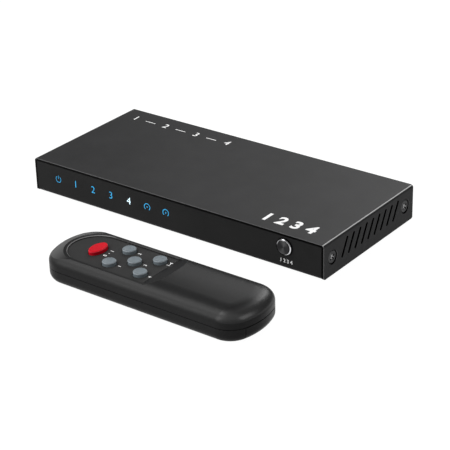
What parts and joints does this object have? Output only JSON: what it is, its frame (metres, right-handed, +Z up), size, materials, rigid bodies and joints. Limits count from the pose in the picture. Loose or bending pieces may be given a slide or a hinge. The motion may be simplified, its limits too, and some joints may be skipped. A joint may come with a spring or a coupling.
{
  "type": "hdmi switch",
  "caption": "Flat black metal video switch with lit input marks, select button, side vents and rear sockets, with its small infrared handset.",
  "frame": {"origin": "under the middle of the metal case, on the plane that its feet and the handset stand on", "axes": "+X along the case's front to its right end, +Y from the front to the rear sockets, +Z up"},
  "size_m": [0.1528, 0.1268, 0.0164],
  "materials": {
    "case_paint": "fine satin black paint",
    "front_film": "dark printed film",
    "black_steel": "blackened steel",
    "bright_steel": "bright zinc",
    "foot_rubber": "matt",
    "bezel_chrome": "polished",
    "button_metal": "dark, turned face",
    "black_plastic": "moulded",
    "lamp_epoxy": "clear epoxy, lit blue",
    "receiver_epoxy": "dark epoxy",
    "circuit_board": "green solder mask",
    "standoff_brass": "plain",
    "socket_steel": "nickel plated",
    "tongue_plastic": "moulded, with gilt contacts",
    "pin_metal": "nickel plated",
    "chip_epoxy": "moulded",
    "pad_silicone": "soft pad",
    "sink_aluminium": "extruded",
    "ferrite": "sintered",
    "can_aluminium": "drawn can",
    "handset_shell": "soft gloss, moulded",
    "handset_panel": "matt plate",
    "mat_silicone": "matt",
    "red_silicone": "satin",
    "grey_silicone": "satin",
    "cell_steel": "nickel plated",
    "contact_metal": "spring strip, plated",
    "emitter_epoxy": "clear epoxy",
    "window_plastic": "dark red tint"
  },
  "bodies": {
    "case": {"top_cover": "case_paint", "bottom_tray": "case_paint", "front_film": "front_film", "cover_screws": "black_steel", "rubber_feet": "foot_rubber", "button_bezel": "bezel_chrome", "push_switch": "black_plastic", "indicator_lamps": "lamp_epoxy", "lamp_holder": "black_plastic", "infrared_receiver": "receiver_epoxy", "main_board": "circuit_board", "board_standoffs": "standoff_brass", "board_screws": "bright_steel", "input_socket_shells": "socket_steel", "input_socket_tongues": "tongue_plastic", "output_socket_shell": "socket_steel", "output_socket_tongue": "tongue_plastic", "power_socket_body": "black_plastic", "power_socket_pin": "pin_metal", "switch_chip": "chip_epoxy", "thermal_pad": "pad_silicone", "heat_sink": "sink_aluminium", "microcontroller": "chip_epoxy", "port_chips": "chip_epoxy", "voltage_regulator": "chip_epoxy", "power_inductor": "ferrite", "capacitors": "can_aluminium", "clock_crystal": "bright_steel"},
    "button": {"select_button": "button_metal", "switch_plunger": "black_plastic"},
    "handset": {"handset_top_shell": "handset_shell", "handset_bottom_shell": "handset_shell", "key_panel": "handset_panel", "key_mat": "mat_silicone", "handset_board": "circuit_board", "handset_chip": "chip_epoxy", "infrared_emitter": "emitter_epoxy", "infrared_window": "window_plastic", "battery_contacts": "contact_metal", "handset_screw": "bright_steel"},
    "drawer": {"battery_drawer": "handset_shell", "coin_cell": "cell_steel"},
    "power_key": {"power_key": "red_silicone"},
    "number_key_one": {"number_key_one": "grey_silicone"},
    "number_key_two": {"number_key_two": "grey_silicone"},
    "number_key_three": {"number_key_three": "grey_silicone"},
    "number_key_four": {"number_key_four": "grey_silicone"},
    "mode_key": {"mode_key": "grey_silicone"}
  },
  "joints": [
    {"name": "button_press", "type": "slide", "parent": "case", "child": "button", "axis": [0, 1, 0], "range_m": [0, 0.0005], "stiffness_N_per_m": 3000},
    {"name": "handset_lift", "type": "slide", "parent": "case", "child": "handset", "axis": [0, 0, 1], "range_m": [0, 0.06]},
    {"name": "drawer_slide", "type": "slide", "parent": "handset", "child": "drawer", "axis": [1, 0, 0], "range_m": [0, 0.024]},
    {"name": "power_key_press", "type": "slide", "parent": "handset", "child": "power_key", "axis": [0, 0, -1], "range_m": [0, 0.0007], "stiffness_N_per_m": 2000},
    {"name": "number_key_one_press", "type": "slide", "parent": "handset", "child": "number_key_one", "axis": [0, 0, -1], "range_m": [0, 0.0007], "stiffness_N_per_m": 2000},
    {"name": "number_key_two_press", "type": "slide", "parent": "handset", "child": "number_key_two", "axis": [0, 0, -1], "range_m": [0, 0.0007], "stiffness_N_per_m": 2000},
    {"name": "number_key_three_press", "type": "slide", "parent": "handset", "child": "number_key_three", "axis": [0, 0, -1], "range_m": [0, 0.0007], "stiffness_N_per_m": 2000},
    {"name": "number_key_four_press", "type": "slide", "parent": "handset", "child": "number_key_four", "axis": [0, 0, -1], "range_m": [0, 0.0007], "stiffness_N_per_m": 2000},
    {"name": "mode_key_press", "type": "slide", "parent": "handset", "child": "mode_key", "axis": [0, 0, -1], "range_m": [0, 0.0007], "stiffness_N_per_m": 2000}
  ]
}
